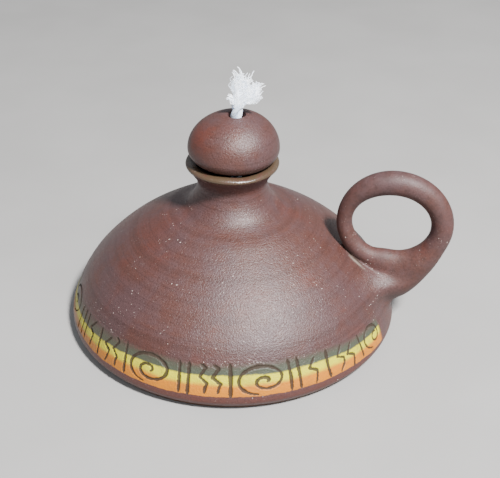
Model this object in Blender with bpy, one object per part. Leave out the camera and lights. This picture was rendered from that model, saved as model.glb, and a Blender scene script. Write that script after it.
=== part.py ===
"""Wheel-thrown stoneware oil lamp: a domed reservoir with a cupped mouth, a ring handle, a stopper and a wick.

The lamp stands on the plane z = 0 with its axis on Z, and its handle points along +X. All sizes are in metres.
"""

import math

import bmesh
import bpy
from mathutils import Vector

# Outside of the reservoir, from the foot up to the neck
FOOT_R = 0.0600
FOOT_ARRIS = 0.0009
BELLY_R = 0.0628
BELLY_Z = 0.0046
HIP_R = 0.0593
HIP_Z = 0.0143
FLANK_R = 0.0537
FLANK_Z = 0.0230
SHOULDER_R = 0.0425
SHOULDER_Z = 0.0337
NECK_BASE_R = 0.0275
NECK_BASE_Z = 0.0436
NECK_SWEEP_R = 0.0172
NECK_SWEEP_Z = 0.0487
NECK_R = 0.0130
NECK_Z = 0.0572

# Rolled lip round the cupped mouth
LIP_R = 0.0152
LIP_Z = 0.0650
LIP_HALF_WIDTH = 0.0020
LIP_HALF_HEIGHT = 0.0012
LIP_START_DEG = -60.0
LIP_END_DEG = 205.0

# Inside of the reservoir
WALL = 0.0045
FLOOR = 0.0045
FLOOR_FILLET = 0.0080
THROAT_R = 0.0100
THROAT_TOP_Z = 0.0590
THROAT_LOW_Z = 0.0540

# Ring of the handle, an oval loop of a clay roll that thins towards the lamp
RING_X = 0.0600
RING_Z = 0.04545
RING_HALF_WIDTH = 0.0179
RING_HALF_HEIGHT = 0.01665
RING_ROLL_OUTER = 0.0041
RING_ROLL_TOP = 0.0045
RING_ROLL_INNER = 0.0029
RING_ROLL_LOW = 0.0042
RING_ROLL_HOLD = 1.8

# Root of the handle, from the flank up into the ring
ROOT_Z = 0.0172
ROOT_ROLL = 0.0060
ROOT_FILLET = 0.0058
ROOT_SUNK = 0.0012
ROOT_JOIN_DEG = -18.0
ROOT_JOIN_SHARE = 0.93
ROOT_LEAVE = 0.0042
ROOT_ARRIVE = 0.0080
ROOT_TAPER = 1.5

# Clay pressed in between the root, the ring and the flank
WEB_RING_DEG = 256.0
WEB_TO_ROOT = 0.28
WEB_HALF_LENGTH = 0.0090
WEB_HALF_WIDTH = 0.0050
WEB_HALF_HEIGHT = 0.0066

# Ball stopper with the wick's bore
BALL_R = 0.0168
BALL_CROWN = 0.0134
BALL_BASE = 0.0080
BALL_FLAT_R = 0.0062
BALL_OFFSET_X = 0.0005
SEAT_GAP = 0.0003
BORE_OFFSET_X = 0.0011
BORE_MOUTH_R = 0.0040
BORE_MOUTH_DEPTH = 0.0030
BORE_ARRIS = 0.0007
BORE_MOUTH_ROUND = 0.3
BORE_MOUTH_WAIST = 0.6

# Wick: a cotton cord through the bore, with its tail on the floor
WICK_R = 0.0022
WICK_GAP = 0.00035
WICK_STALK = 0.0042
WICK_LEAN = 0.0006
WICK_TAIL_BEND = 0.0090
WICK_TAIL_DROP = 0.0014
WICK_TAIL = ((0.0050, -0.0030), (0.0130, -0.0075), (0.0225, -0.0085), (0.0310, -0.0040))

# Frayed end of the wick, a fan that falls to one side
TUFT_RISE = 0.0138
TUFT_REACH = 0.0105
TUFT_TIP_X = 0.0016
TUFT_HALF_DEPTH = 0.0040
TUFT_TIP_HALF_DEPTH = 0.00044
TUFT_FALL = 0.58

# Fineness of the solids
TURN_STEPS = 56
BALL_STEPS = 40
SPAN_STEPS = 3
INNER_SPAN_STEPS = 2
ARC_STEPS = 5
CORNER_STEPS = 4
RING_STEPS = 36
ROLL_STEPS = 14
FLARE_STEPS = 5
BEND_STEPS = 7
WEB_STEPS = 8
WICK_SIDES_RESOLUTION = 2
TUFT_STEPS = 7
SEAM_MERGE = 0.00002
SHARP_EDGE_DEG = 40.0


def material(name: str, colour: tuple, roughness: float) -> bpy.types.Material:
    """A plain finish of one colour."""
    made = bpy.data.materials.new(name)
    made.use_nodes = True
    shader = made.node_tree.nodes["Principled BSDF"]
    shader.inputs["Base Color"].default_value = (*colour, 1.0)
    shader.inputs["Roughness"].default_value = roughness
    shader.inputs["Metallic"].default_value = 0.0
    return made


def smooth(stations: list, steps: int) -> list:
    """Points of a curve through the stations, with the same number of steps in each span."""
    points = [Vector(s) for s in stations]
    knots = [0.0]
    for a, b in zip(points, points[1:]):
        knots.append(knots[-1] + math.sqrt((b - a).length))
    tangents = []
    for i, point in enumerate(points):
        before = points[max(i - 1, 0)]
        after = points[min(i + 1, len(points) - 1)]
        span = knots[min(i + 1, len(points) - 1)] - knots[max(i - 1, 0)]
        tangents.append((after - before) / span)
    curve = []
    for i in range(len(points) - 1):
        reach = knots[i + 1] - knots[i]
        for k in range(steps):
            t = k / steps
            start = points[i] * (2 * t**3 - 3 * t**2 + 1) + tangents[i] * reach * (t**3 - 2 * t**2 + t)
            end = points[i + 1] * (3 * t**2 - 2 * t**3) + tangents[i + 1] * reach * (t**3 - t**2)
            curve.append(start + end)
    curve.append(points[-1])
    return curve


def arc(centre: tuple, half_width: float, half_height: float, start: float, end: float, steps: int) -> list:
    """Points along a stretch of an ellipse, between two angles in degrees."""
    points = []
    for k in range(steps + 1):
        angle = math.radians(start + (end - start) * k / steps)
        points.append(Vector((centre[0] + half_width * math.cos(angle), centre[1] + half_height * math.sin(angle))))
    return points


def lip() -> list:
    """The rolled lip's outline, from its underside over its crest to its inner side."""
    return arc((LIP_R, LIP_Z), LIP_HALF_WIDTH, LIP_HALF_HEIGHT, LIP_START_DEG, LIP_END_DEG, 2 * ARC_STEPS)


def outside() -> list:
    """The reservoir's outside, from the foot's arris to the underside of the lip."""
    stations = [
        (FOOT_R, FOOT_ARRIS),
        (BELLY_R, BELLY_Z),
        (HIP_R, HIP_Z),
        (FLANK_R, FLANK_Z),
        (SHOULDER_R, SHOULDER_Z),
        (NECK_BASE_R, NECK_BASE_Z),
        (NECK_SWEEP_R, NECK_SWEEP_Z),
        (NECK_R, NECK_Z),
        tuple(lip()[0]),
    ]
    return smooth(stations, SPAN_STEPS)


def inward(curve: list, index: int, depth: float) -> Vector:
    """The point that lies a depth under a point of the outside."""
    along = (curve[index + 1] - curve[index - 1]).normalized()
    return curve[index] + Vector((-along.y, along.x)) * depth


def inside() -> list:
    """The reservoir's inside, from the inner side of the lip down through the throat to the middle of the floor."""
    outer = outside()
    under = [inward(outer, i * SPAN_STEPS, WALL) for i in (6, 5, 4, 3, 2)]
    place, normal = flank(FLOOR + FLOOR_FILLET)
    widest = place.x - WALL / normal.x
    throat = [tuple(lip()[-1]), (THROAT_R, THROAT_TOP_Z), (THROAT_R, THROAT_LOW_Z)]
    corner_start = (widest, FLOOR + FLOOR_FILLET)
    dome = [tuple(point) for point in under if point.y > corner_start[1]]
    wall = smooth([*throat, *dome, corner_start], INNER_SPAN_STEPS)
    centre = (widest - FLOOR_FILLET, FLOOR + FLOOR_FILLET)
    corner = arc(centre, FLOOR_FILLET, FLOOR_FILLET, 0.0, -90.0, CORNER_STEPS)
    return [*wall[1:-1], *corner, Vector((0.0, FLOOR))]


def seat_height() -> float:
    """The height of the stopper's widest level where it clears the lip and the cup by the seat's gap."""
    height = 0.0
    for point in [*lip(), *inside()[: 2 * INNER_SPAN_STEPS]]:
        reach = point.x - SEAT_GAP - BALL_OFFSET_X
        if reach < BALL_R:
            under = BALL_BASE * math.sqrt(1.0 - (reach / BALL_R) ** 2)
            height = max(height, point.y + SEAT_GAP + under)
    return height


def new_object(name: str, mesh: bpy.types.Mesh, finish: bpy.types.Material) -> bpy.types.Object:
    """An object for the mesh, smooth apart from its sharp edges."""
    mesh.materials.append(finish)
    mesh.shade_smooth()
    mesh.set_sharp_from_angle(angle=math.radians(SHARP_EDGE_DEG))
    made = bpy.data.objects.new(name, mesh)
    bpy.context.scene.collection.objects.link(made)
    return made


def turned(name: str, outline: list, closed: bool, steps: int) -> bpy.types.Mesh:
    """A mesh turned on the Z axis from an outline of (radius, height) points."""
    bm = bmesh.new()
    verts = [bm.verts.new((p[0], 0.0, p[1])) for p in outline]
    edges = [bm.edges.new(pair) for pair in zip(verts, verts[1:])]
    if closed:
        edges.append(bm.edges.new((verts[-1], verts[0])))
    bmesh.ops.spin(
        bm,
        geom=[*verts, *edges],
        cent=(0.0, 0.0, 0.0),
        axis=(0.0, 0.0, 1.0),
        angle=2.0 * math.pi,
        steps=steps,
        use_merge=True,
    )
    bmesh.ops.remove_doubles(bm, verts=bm.verts, dist=SEAM_MERGE)
    bmesh.ops.recalc_face_normals(bm, faces=bm.faces)
    mesh = bpy.data.meshes.new(name)
    bm.to_mesh(mesh)
    bm.free()
    return mesh


def skinned(name: str, rings: list, looped: bool) -> bpy.types.Mesh:
    """A mesh over rings of points: a loop of them, or a row with its ends capped."""
    bm = bmesh.new()
    rows = [[bm.verts.new(p) for p in ring] for ring in rings]
    pairs = list(zip(rows, rows[1:]))
    if looped:
        pairs.append((rows[-1], rows[0]))
    for lower, upper in pairs:
        for i in range(len(lower)):
            j = (i + 1) % len(lower)
            bm.faces.new((lower[i], lower[j], upper[j], upper[i]))
    if not looped:
        bm.faces.new(rows[0])
        bm.faces.new(rows[-1])
    bmesh.ops.recalc_face_normals(bm, faces=bm.faces)
    mesh = bpy.data.meshes.new(name)
    bm.to_mesh(mesh)
    bm.free()
    return mesh


def roll_ring(centre: Vector, along: Vector, radius: float) -> list:
    """A round section of a clay roll whose middle line lies in the XZ plane."""
    side = Vector((0.0, 1.0, 0.0))
    up = along.normalized().cross(side)
    ring = []
    for k in range(ROLL_STEPS):
        angle = 2.0 * math.pi * k / ROLL_STEPS
        ring.append(centre + up * (radius * math.cos(angle)) + side * (radius * math.sin(angle)))
    return ring


def ring_point(degrees: float) -> Vector:
    """A point on the handle ring's middle line; 0 degrees is its outermost point and 90 its top."""
    angle = math.radians(degrees)
    return Vector((RING_X + RING_HALF_WIDTH * math.cos(angle), 0.0, RING_Z + RING_HALF_HEIGHT * math.sin(angle)))


def ring_along(degrees: float) -> Vector:
    """The direction of the handle ring's middle line."""
    angle = math.radians(degrees)
    return Vector((-RING_HALF_WIDTH * math.sin(angle), 0.0, RING_HALF_HEIGHT * math.cos(angle))).normalized()


def ring_roll(degrees: float) -> float:
    """The roll's radius round the ring, eased between its four named places."""
    sizes = (RING_ROLL_OUTER, RING_ROLL_TOP, RING_ROLL_INNER, RING_ROLL_LOW)
    quarter, part = divmod((degrees % 360.0) / 90.0, 1.0)
    hold = RING_ROLL_HOLD if quarter == 2 else 1.0
    ease = 0.5 - 0.5 * math.cos(math.pi * part**hold)
    first = sizes[int(quarter) % 4]
    second = sizes[(int(quarter) + 1) % 4]
    return first + (second - first) * ease


def flank(height: float) -> tuple:
    """The point of the outside at a height, and the direction straight out of it."""
    curve = outside()
    index = min(range(1, len(curve) - 1), key=lambda i: abs(curve[i].y - height))
    first = index if curve[index].y < height else index - 1
    before = curve[first]
    after = curve[first + 1]
    share = (height - before.y) / (after.y - before.y)
    along = (after - before).normalized()
    return before.lerp(after, share), Vector((along.y, -along.x))


def root_base_ring(radius: float, above: float) -> list:
    """A ring of the root that follows the flank at a distance above it."""
    start, start_normal = flank(ROOT_Z)
    ring = []
    for k in range(ROLL_STEPS):
        angle = 2.0 * math.pi * k / ROLL_STEPS
        rise = radius * math.cos(angle) * start_normal.x
        place, normal = flank(ROOT_Z + rise)
        turn = radius * math.sin(angle) / start.x
        out = place + normal * above
        ring.append(Vector((out.x * math.cos(turn), out.x * math.sin(turn), out.y)))
    return ring


def root_rings() -> list:
    """The root's sections: a flare that follows the flank, then a bend up into the ring."""
    place, normal = flank(ROOT_Z)
    start = Vector((place.x, 0.0, place.y))
    leave = Vector((normal.x, 0.0, normal.y))
    end = ring_point(ROOT_JOIN_DEG)
    arrive = ring_along(ROOT_JOIN_DEG)
    end_roll = ring_roll(ROOT_JOIN_DEG) * ROOT_JOIN_SHARE
    rings = [root_base_ring(ROOT_ROLL + ROOT_FILLET, -ROOT_SUNK)]
    for k in range(1, FLARE_STEPS + 1):
        share = k / FLARE_STEPS
        angle = 0.5 * math.pi * share
        radius = ROOT_ROLL + ROOT_FILLET * (1.0 - math.sin(angle))
        above = ROOT_FILLET * (1.0 - math.cos(angle))
        follows = root_base_ring(radius, above)
        straight = roll_ring(start + leave * above, leave, radius)
        rings.append([a.lerp(b, share) for a, b in zip(follows, straight)])
    first = start + leave * ROOT_FILLET
    bend_out = first + leave * ROOT_LEAVE
    bend_in = end - arrive * ROOT_ARRIVE
    for k in range(1, BEND_STEPS + 1):
        t = k / BEND_STEPS
        s = 1.0 - t
        centre = first * s**3 + bend_out * (3 * s**2 * t) + bend_in * (3 * s * t**2) + end * t**3
        along = (bend_out - first) * s**2 + (bend_in - bend_out) * (2 * s * t) + (end - bend_in) * t**2
        rings.append(roll_ring(centre, along, ROOT_ROLL + (end_roll - ROOT_ROLL) * t**ROOT_TAPER))
    return rings


def build_web(clay: bpy.types.Material) -> bpy.types.Object:
    """The clay between the root, the ring and the flank, as a rounded lump."""
    base, _ = flank(ROOT_Z)
    centre = ring_point(WEB_RING_DEG).lerp(Vector((base.x, 0.0, base.y)), WEB_TO_ROOT)
    bm = bmesh.new()
    bmesh.ops.create_uvsphere(bm, u_segments=2 * WEB_STEPS, v_segments=WEB_STEPS, radius=1.0)
    bmesh.ops.scale(bm, vec=(WEB_HALF_LENGTH, WEB_HALF_WIDTH, WEB_HALF_HEIGHT), verts=bm.verts)
    bmesh.ops.translate(bm, vec=centre, verts=bm.verts)
    mesh = bpy.data.meshes.new("handle_web")
    bm.to_mesh(mesh)
    bm.free()
    return new_object("handle_web_guide", mesh, clay)


def fused(body: bpy.types.Object, other: bpy.types.Object) -> None:
    """Joins another closed shape to the body; the other stays as a guide."""
    joint = body.modifiers.new("fused_" + other.name, "BOOLEAN")
    joint.operation = "UNION"
    joint.solver = "EXACT"
    joint.object = other
    other.hide_render = True
    other.display_type = "WIRE"


def build_body(clay: bpy.types.Material) -> bpy.types.Object:
    """The hollow reservoir with its mouth, and the handle fired onto it."""
    foot = arc((FOOT_R - FOOT_ARRIS, FOOT_ARRIS), FOOT_ARRIS, FOOT_ARRIS, -90.0, 0.0, 2)
    outline = [Vector((0.0, 0.0)), *foot[:-1], *outside()[:-1], *lip(), *inside()]
    body = new_object("lamp_body", turned("lamp_body", outline, closed=False, steps=TURN_STEPS), clay)
    rings = []
    for k in range(RING_STEPS):
        degrees = 360.0 * k / RING_STEPS
        rings.append(roll_ring(ring_point(degrees), ring_along(degrees), ring_roll(degrees)))
    ring = new_object("handle_ring_guide", skinned("handle_ring", rings, looped=True), clay)
    root = new_object("handle_root_guide", skinned("handle_root", root_rings(), looped=False), clay)
    fused(body, root)
    fused(body, build_web(clay))
    fused(body, ring)
    return body


def build_stopper(clay: bpy.types.Material) -> bpy.types.Object:
    """The ball stopper, with its underside turned flat and a bore for the wick."""
    level = seat_height()
    bore_r = WICK_R + WICK_GAP
    flat_z = -BALL_BASE * math.sqrt(1.0 - (BALL_FLAT_R / BALL_R) ** 2)
    flat_deg = math.degrees(math.atan2(flat_z / BALL_BASE, BALL_FLAT_R / BALL_R))
    low = arc((0.0, 0.0), BALL_R, BALL_BASE, flat_deg, 0.0, ARC_STEPS)
    mouth_deg = math.degrees(math.acos(BORE_MOUTH_R / BALL_R))
    high = arc((0.0, 0.0), BALL_R, BALL_CROWN, 0.0, mouth_deg, 2 * ARC_STEPS)
    top_z = high[-1].y
    mouth = smooth(
        [
            (BORE_MOUTH_R, top_z),
            (BORE_MOUTH_R - BORE_ARRIS, top_z - BORE_MOUTH_ROUND * BORE_ARRIS),
            (bore_r + 0.5 * BORE_ARRIS, top_z - BORE_MOUTH_WAIST * BORE_MOUTH_DEPTH),
            (bore_r, top_z - BORE_MOUTH_DEPTH),
        ],
        2,
    )
    under = [Vector((bore_r, flat_z + BORE_ARRIS)), Vector((bore_r + BORE_ARRIS, flat_z))]
    outline = [*low, *high[1:-1], *mouth, *under]
    mesh = turned("stopper", outline, closed=True, steps=BALL_STEPS)
    for vertex in mesh.vertices:
        reach = math.hypot(vertex.co.x, vertex.co.y)
        share = max(0.0, 1.0 - max(0.0, reach - BORE_MOUTH_R) / (BALL_R - BORE_MOUTH_R))
        vertex.co.x += BORE_OFFSET_X * share
    stopper = new_object("stopper", mesh, clay)
    stopper.location = (BALL_OFFSET_X, 0.0, level)
    return stopper


def wick_route() -> list:
    """The points that the wick runs through, from the foot of its frayed end to its tail on the floor."""
    centre_x = BALL_OFFSET_X + BORE_OFFSET_X
    level = seat_height()
    crown = level + BALL_CROWN
    rest = FLOOR + WICK_R + WICK_GAP
    route = [(centre_x + WICK_LEAN, 0.0, crown + WICK_STALK)]
    route.append((centre_x, 0.0, crown))
    route.append((centre_x, 0.0, level))
    route.append((centre_x, 0.0, level - BALL_BASE))
    route.append((centre_x, 0.0, 0.5 * (level - BALL_BASE + rest)))
    route.append((centre_x, 0.0, rest + WICK_TAIL_BEND))
    first, *others = WICK_TAIL
    route.append((centre_x + first[0], first[1], rest + WICK_TAIL_DROP))
    route += [(centre_x + x, y, rest) for x, y in others]
    return route


def build_wick(cotton: bpy.types.Material) -> bpy.types.Object:
    """The wick's cord."""
    curve = bpy.data.curves.new("wick", "CURVE")
    curve.dimensions = "3D"
    curve.bevel_depth = WICK_R
    curve.bevel_resolution = WICK_SIDES_RESOLUTION
    curve.use_fill_caps = True
    points = smooth(wick_route(), 2)
    spline = curve.splines.new("POLY")
    spline.points.add(len(points) - 1)
    for at, point in zip(spline.points, points):
        at.co = (*point, 1.0)
    curve.materials.append(cotton)
    wick = bpy.data.objects.new("wick", curve)
    bpy.context.scene.collection.objects.link(wick)
    return wick


def build_tuft(cotton: bpy.types.Material) -> bpy.types.Object:
    """The wick's frayed end, a fan of threads that falls to one side, as one closed shape."""
    start = Vector(wick_route()[0]) + Vector((0.0, 0.0, WICK_GAP))
    rings = []
    for k in range(TUFT_STEPS + 1):
        t = k / TUFT_STEPS
        fall = math.sin(math.pi * t**TUFT_FALL)
        right = WICK_R + (TUFT_REACH - WICK_R) * fall
        left = (WICK_R + TUFT_TIP_X) * t**2 - WICK_R
        deep = WICK_R + (TUFT_HALF_DEPTH - WICK_R) * fall + (TUFT_TIP_HALF_DEPTH - WICK_R) * t**3
        wide = 0.5 * (right - left)
        centre = start + Vector((0.5 * (left + right), 0.0, TUFT_RISE * t))
        ring = []
        for i in range(ROLL_STEPS):
            angle = 2.0 * math.pi * i / ROLL_STEPS
            ring.append(centre + Vector((wide * math.cos(angle), deep * math.sin(angle), 0.0)))
        rings.append(ring)
    return new_object("wick_tuft", skinned("wick_tuft", rings, looped=False), cotton)


def main() -> None:
    """Clears the scene and builds the lamp's pieces."""
    for old in list(bpy.data.objects):
        bpy.data.objects.remove(old)
    clay = material("stoneware", (0.20, 0.085, 0.065), 0.55)
    ball_clay = material("stoneware_ball", (0.21, 0.090, 0.070), 0.55)
    cotton = material("wick_cotton", (0.80, 0.84, 0.92), 0.90)
    build_body(clay)
    build_stopper(ball_clay)
    build_wick(cotton)
    build_tuft(cotton)


main()
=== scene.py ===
"""Looks of a wheel-thrown stoneware oil lamp: its clay, glazed lip, scratched slip band, stopper and wick.

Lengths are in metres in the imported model's frame, unless a docstring says millimetres. The lamp stands on
z = 0 with its axis on Z, and its handle points along +X.
"""

import logging
import math
from dataclasses import dataclass, field
from enum import Enum

import bmesh
import bpy
import numpy as np
from mathutils import Matrix, Vector


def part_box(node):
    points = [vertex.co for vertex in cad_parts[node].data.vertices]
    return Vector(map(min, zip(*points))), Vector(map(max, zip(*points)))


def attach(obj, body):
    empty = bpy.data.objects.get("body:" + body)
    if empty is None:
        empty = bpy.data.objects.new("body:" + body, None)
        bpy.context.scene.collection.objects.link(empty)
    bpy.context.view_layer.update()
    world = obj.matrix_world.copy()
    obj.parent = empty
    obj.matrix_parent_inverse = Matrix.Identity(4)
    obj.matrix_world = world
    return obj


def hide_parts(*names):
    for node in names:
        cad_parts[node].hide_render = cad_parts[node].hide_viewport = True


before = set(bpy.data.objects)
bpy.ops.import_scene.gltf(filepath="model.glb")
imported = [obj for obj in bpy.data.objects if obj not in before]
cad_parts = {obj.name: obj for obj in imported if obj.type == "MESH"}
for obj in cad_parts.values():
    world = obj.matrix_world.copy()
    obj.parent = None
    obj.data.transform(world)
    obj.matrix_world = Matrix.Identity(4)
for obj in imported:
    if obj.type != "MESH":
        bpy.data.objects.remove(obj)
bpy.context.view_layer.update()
MM = 0.001
LOG = logging.getLogger("oil_lamp")


class Socket:
    """A node socket, or a plain number, with arithmetic that adds Math nodes to its tree."""

    def __init__(self, tree: bpy.types.NodeTree, source: object) -> None:
        """Wraps a source in a tree."""
        self.tree = tree
        self.source = source

    def maths(self, operation: str, *others: object) -> "Socket":
        """Adds a Math node.

        Args:
            operation: The node's operation.
            others: The further values, as numbers or wrapped sockets.

        Returns:
            The node's result, wrapped.
        """
        values = dict(enumerate((self, *others)))
        node = add_node(self.tree, "ShaderNodeMath", {"operation": operation}, values)
        return Socket(self.tree, node.outputs[0])

    def __add__(self, other: object) -> "Socket":
        """Adds."""
        return self.maths("ADD", other)

    def __radd__(self, other: object) -> "Socket":
        """Adds, reflected."""
        return self.maths("ADD", other)

    def __sub__(self, other: object) -> "Socket":
        """Subtracts."""
        return self.maths("SUBTRACT", other)

    def __rsub__(self, other: float) -> "Socket":
        """Subtracts this from a number."""
        return Socket(self.tree, other).maths("SUBTRACT", self)

    def __mul__(self, other: object) -> "Socket":
        """Multiplies."""
        return self.maths("MULTIPLY", other)

    def __rmul__(self, other: object) -> "Socket":
        """Multiplies, reflected."""
        return self.maths("MULTIPLY", other)

    def __truediv__(self, other: object) -> "Socket":
        """Divides."""
        return self.maths("DIVIDE", other)

    def __pow__(self, other: object) -> "Socket":
        """Raises to a power."""
        return self.maths("POWER", other)

    def least(self, other: object) -> "Socket":
        """The smaller of the two."""
        return self.maths("MINIMUM", other)

    def most(self, other: object) -> "Socket":
        """The larger of the two."""
        return self.maths("MAXIMUM", other)

    def rounded_down(self) -> "Socket":
        """The whole part."""
        return self.maths("FLOOR")

    def sine(self) -> "Socket":
        """The sine, of an angle in radians."""
        return self.maths("SINE")

    def cosine(self) -> "Socket":
        """The cosine, of an angle in radians."""
        return self.maths("COSINE")

    def step(self, low: float, high: float) -> "Socket":
        """A smooth step.

        Args:
            low: Where it is 0.
            high: Where it is 1; it may be below low.

        Returns:
            The step from 0 to 1.
        """
        ordered = (low, high, 0.0, 1.0) if low < high else (high, low, 1.0, 0.0)
        values = dict(enumerate((self, *ordered)))
        node = add_node(self.tree, "ShaderNodeMapRange", {"interpolation_type": "SMOOTHSTEP"}, values)
        return Socket(self.tree, node.outputs[0])


def join(tree: bpy.types.NodeTree, slot: bpy.types.NodeSocket, value: object) -> None:
    """Gives a socket its value.

    Args:
        tree: The tree that the socket is in.
        slot: The input socket.
        value: A number, a tuple, an object or material, or a wrapped or bare output socket.
    """
    if isinstance(value, Socket):
        value = value.source
    if isinstance(value, bpy.types.NodeSocket):
        tree.links.new(value, slot)
    elif isinstance(value, tuple) and slot.type == "RGBA" and len(value) == 3:
        slot.default_value = (*value, 1.0)
    else:
        slot.default_value = value


def add_node(
    tree: bpy.types.NodeTree, kind: str, settings: dict | None = None, values: dict | None = None
) -> bpy.types.Node:
    """Adds any node.

    Args:
        tree: The tree that it goes in.
        kind: The node's type.
        settings: The node's own properties, which are set first.
        values: The values or links of its sockets, by name or number.

    Returns:
        The node.
    """
    node = tree.nodes.new(kind)
    for name, value in (settings or {}).items():
        setattr(node, name, value)
    for name, value in (values or {}).items():
        join(tree, node.inputs[name], value)
    return node


def srgb(red: int, green: int, blue: int) -> tuple[float, float, float]:
    """A screen colour as linear values.

    Args:
        red: The red part, from 0 to 255.
        green: The green part.
        blue: The blue part.

    Returns:
        The linear parts, from 0 to 1.
    """
    linear = []
    for part in (red, green, blue):
        share = part / 255.0
        linear.append(share / 12.92 if share <= 0.04045 else ((share + 0.055) / 1.055) ** 2.4)
    return tuple(linear)


class Paint:
    """A material under construction, with its shader and its coordinates in millimetres."""

    def __init__(self, name: str, constants: dict | None = None) -> None:
        """Makes the material.

        Args:
            name: The material's name.
            constants: Values set on the shader's own sockets.
        """
        self.material = bpy.data.materials.new(name)
        self.material.use_nodes = True
        self.tree = self.material.node_tree
        self.tree.nodes.clear()
        self.output = add_node(self.tree, "ShaderNodeOutputMaterial")
        self.shader = add_node(self.tree, "ShaderNodeBsdfPrincipled", values=constants)
        self.tree.links.new(self.shader.outputs[0], self.output.inputs[0])
        values = {0: add_node(self.tree, "ShaderNodeTexCoord").outputs["Object"], "Scale": 1.0 / MM}
        scaled = add_node(self.tree, "ShaderNodeVectorMath", {"operation": "SCALE"}, values)
        self.place = scaled.outputs[0]
        split = add_node(self.tree, "ShaderNodeSeparateXYZ", values={0: self.place})
        self.x, self.y, self.z = (Socket(self.tree, out) for out in split.outputs)

    def noise(
        self, size: float, detail: float = 2.0, rough: float = 0.5, vector: object = None, warp: float = 0.0
    ) -> Socket:
        """A noise whose patches are about so many millimetres across.

        Args:
            size: The size of a patch, in millimetres.
            detail: The number of finer octaves.
            rough: How strong the finer octaves are.
            vector: The coordinates, or None for the object's own.
            warp: The distortion.

        Returns:
            The noise, around 0.5.
        """
        values = {"Vector": vector or self.place, "Scale": 1.0 / size, "Detail": detail}
        values |= {"Roughness": rough, "Distortion": warp}
        node = add_node(self.tree, "ShaderNodeTexNoise", {"noise_dimensions": "3D"}, values)
        return Socket(self.tree, node.outputs[0])

    def vector(self, x: object, y: object, z: object) -> bpy.types.NodeSocket:
        """A vector from its parts."""
        return add_node(self.tree, "ShaderNodeCombineXYZ", values={0: x, 1: y, 2: z}).outputs[0]

    def attribute(self, name: str) -> Socket:
        """A number kept on the piece's points."""
        node = add_node(self.tree, "ShaderNodeAttribute", {"attribute_name": name})
        return Socket(self.tree, node.outputs["Fac"])

    def mix(self, share: object, first: object, second: object) -> bpy.types.NodeSocket:
        """Two colours mixed.

        Args:
            share: The share of the second colour.
            first: The first colour.
            second: The second colour.

        Returns:
            The mixed colour.
        """
        settings = {"data_type": "RGBA", "blend_type": "MIX", "clamp_factor": True}
        return add_node(self.tree, "ShaderNodeMix", settings, {0: share, 6: first, 7: second}).outputs[2]

    def bump(self, height: Socket, distance: float) -> bpy.types.NodeSocket:
        """A bump.

        Args:
            height: The height, from 0 to 1.
            distance: How much that is, in metres.

        Returns:
            The normal.
        """
        values = {"Height": height, "Distance": distance, "Strength": 1.0}
        return add_node(self.tree, "ShaderNodeBump", values=values).outputs[0]

    def finish(self, **links: object) -> bpy.types.Material:
        """Sets the shader's varying sockets.

        Args:
            links: The sockets' values or links, by name with underscores for spaces.

        Returns:
            The material.
        """
        for name, value in links.items():
            join(self.tree, self.shader.inputs[name.replace("_", " ")], value)
        return self.material


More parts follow.
